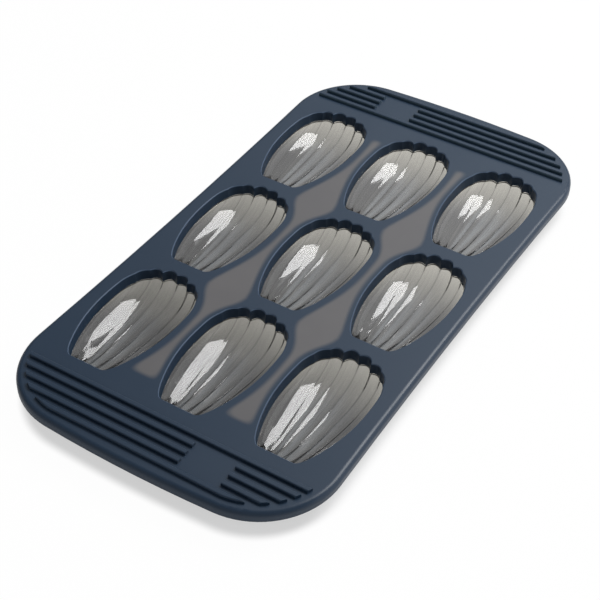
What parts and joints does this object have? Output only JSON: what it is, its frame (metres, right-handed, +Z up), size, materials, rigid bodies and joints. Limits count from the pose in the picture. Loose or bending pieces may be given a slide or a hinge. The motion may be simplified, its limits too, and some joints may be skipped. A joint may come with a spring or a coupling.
{
  "type": "madeleine pan",
  "caption": "Silicone baking pan for shell-shaped cakes: a stiff rimmed frame with ribbed grips at both ends, translucent scalloped shells and flush web strips.",
  "frame": {"origin": "centre of the footprint, on the surface the pan stands on", "axes": "+Z up, out of the cavities; +Y along the pan, from the cavities' noses to their rounded ends; +X across it"},
  "size_m": [0.1564, 0.2966, 0.0162],
  "materials": {
    "navy_silicone": "satin, opaque",
    "grey_silicone": "matt, slightly translucent",
    "smoke_silicone": "glossy, translucent smoke"
  },
  "bodies": {
    "root": {"frame": "navy_silicone", "web_strip_left": "grey_silicone", "web_strip_right": "grey_silicone", "shell_front_left": "smoke_silicone", "shell_front_middle": "smoke_silicone", "shell_front_right": "smoke_silicone", "shell_centre_left": "smoke_silicone", "shell_centre_middle": "smoke_silicone", "shell_centre_right": "smoke_silicone", "shell_back_left": "smoke_silicone", "shell_back_middle": "smoke_silicone", "shell_back_right": "smoke_silicone"}
  },
  "joints": []
}
